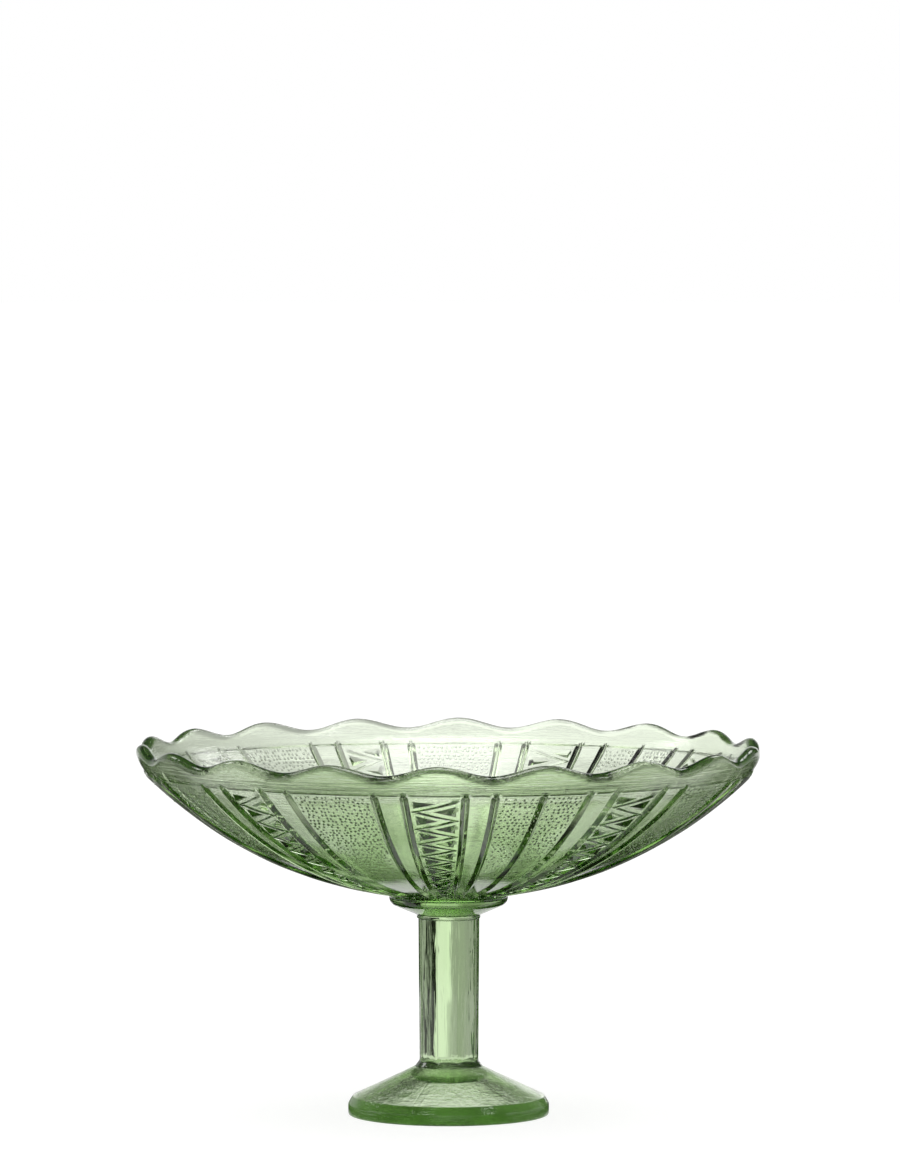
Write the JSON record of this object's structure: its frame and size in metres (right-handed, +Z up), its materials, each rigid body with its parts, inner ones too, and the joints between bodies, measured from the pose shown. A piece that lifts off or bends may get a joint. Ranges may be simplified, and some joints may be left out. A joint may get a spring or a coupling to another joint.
{
  "type": "compote bowl",
  "caption": "Shallow round bowl of pressed glass with a scalloped rim and ribbed, zigzag-moulded outside, on a collar, a faceted stem and a round foot.",
  "frame": {"origin": "middle of the foot's resting ring, on the table", "axes": "+Z up along the axis of the stem and bowl"},
  "size_m": [0.2386, 0.2398, 0.1434],
  "materials": {
    "bowl_glass": "clear pale green, fire polished",
    "foot_glass": "clear green, moulded"
  },
  "bodies": {
    "root": {"bowl": "bowl_glass", "collar": "foot_glass", "stem": "foot_glass", "foot": "foot_glass"}
  },
  "joints": []
}
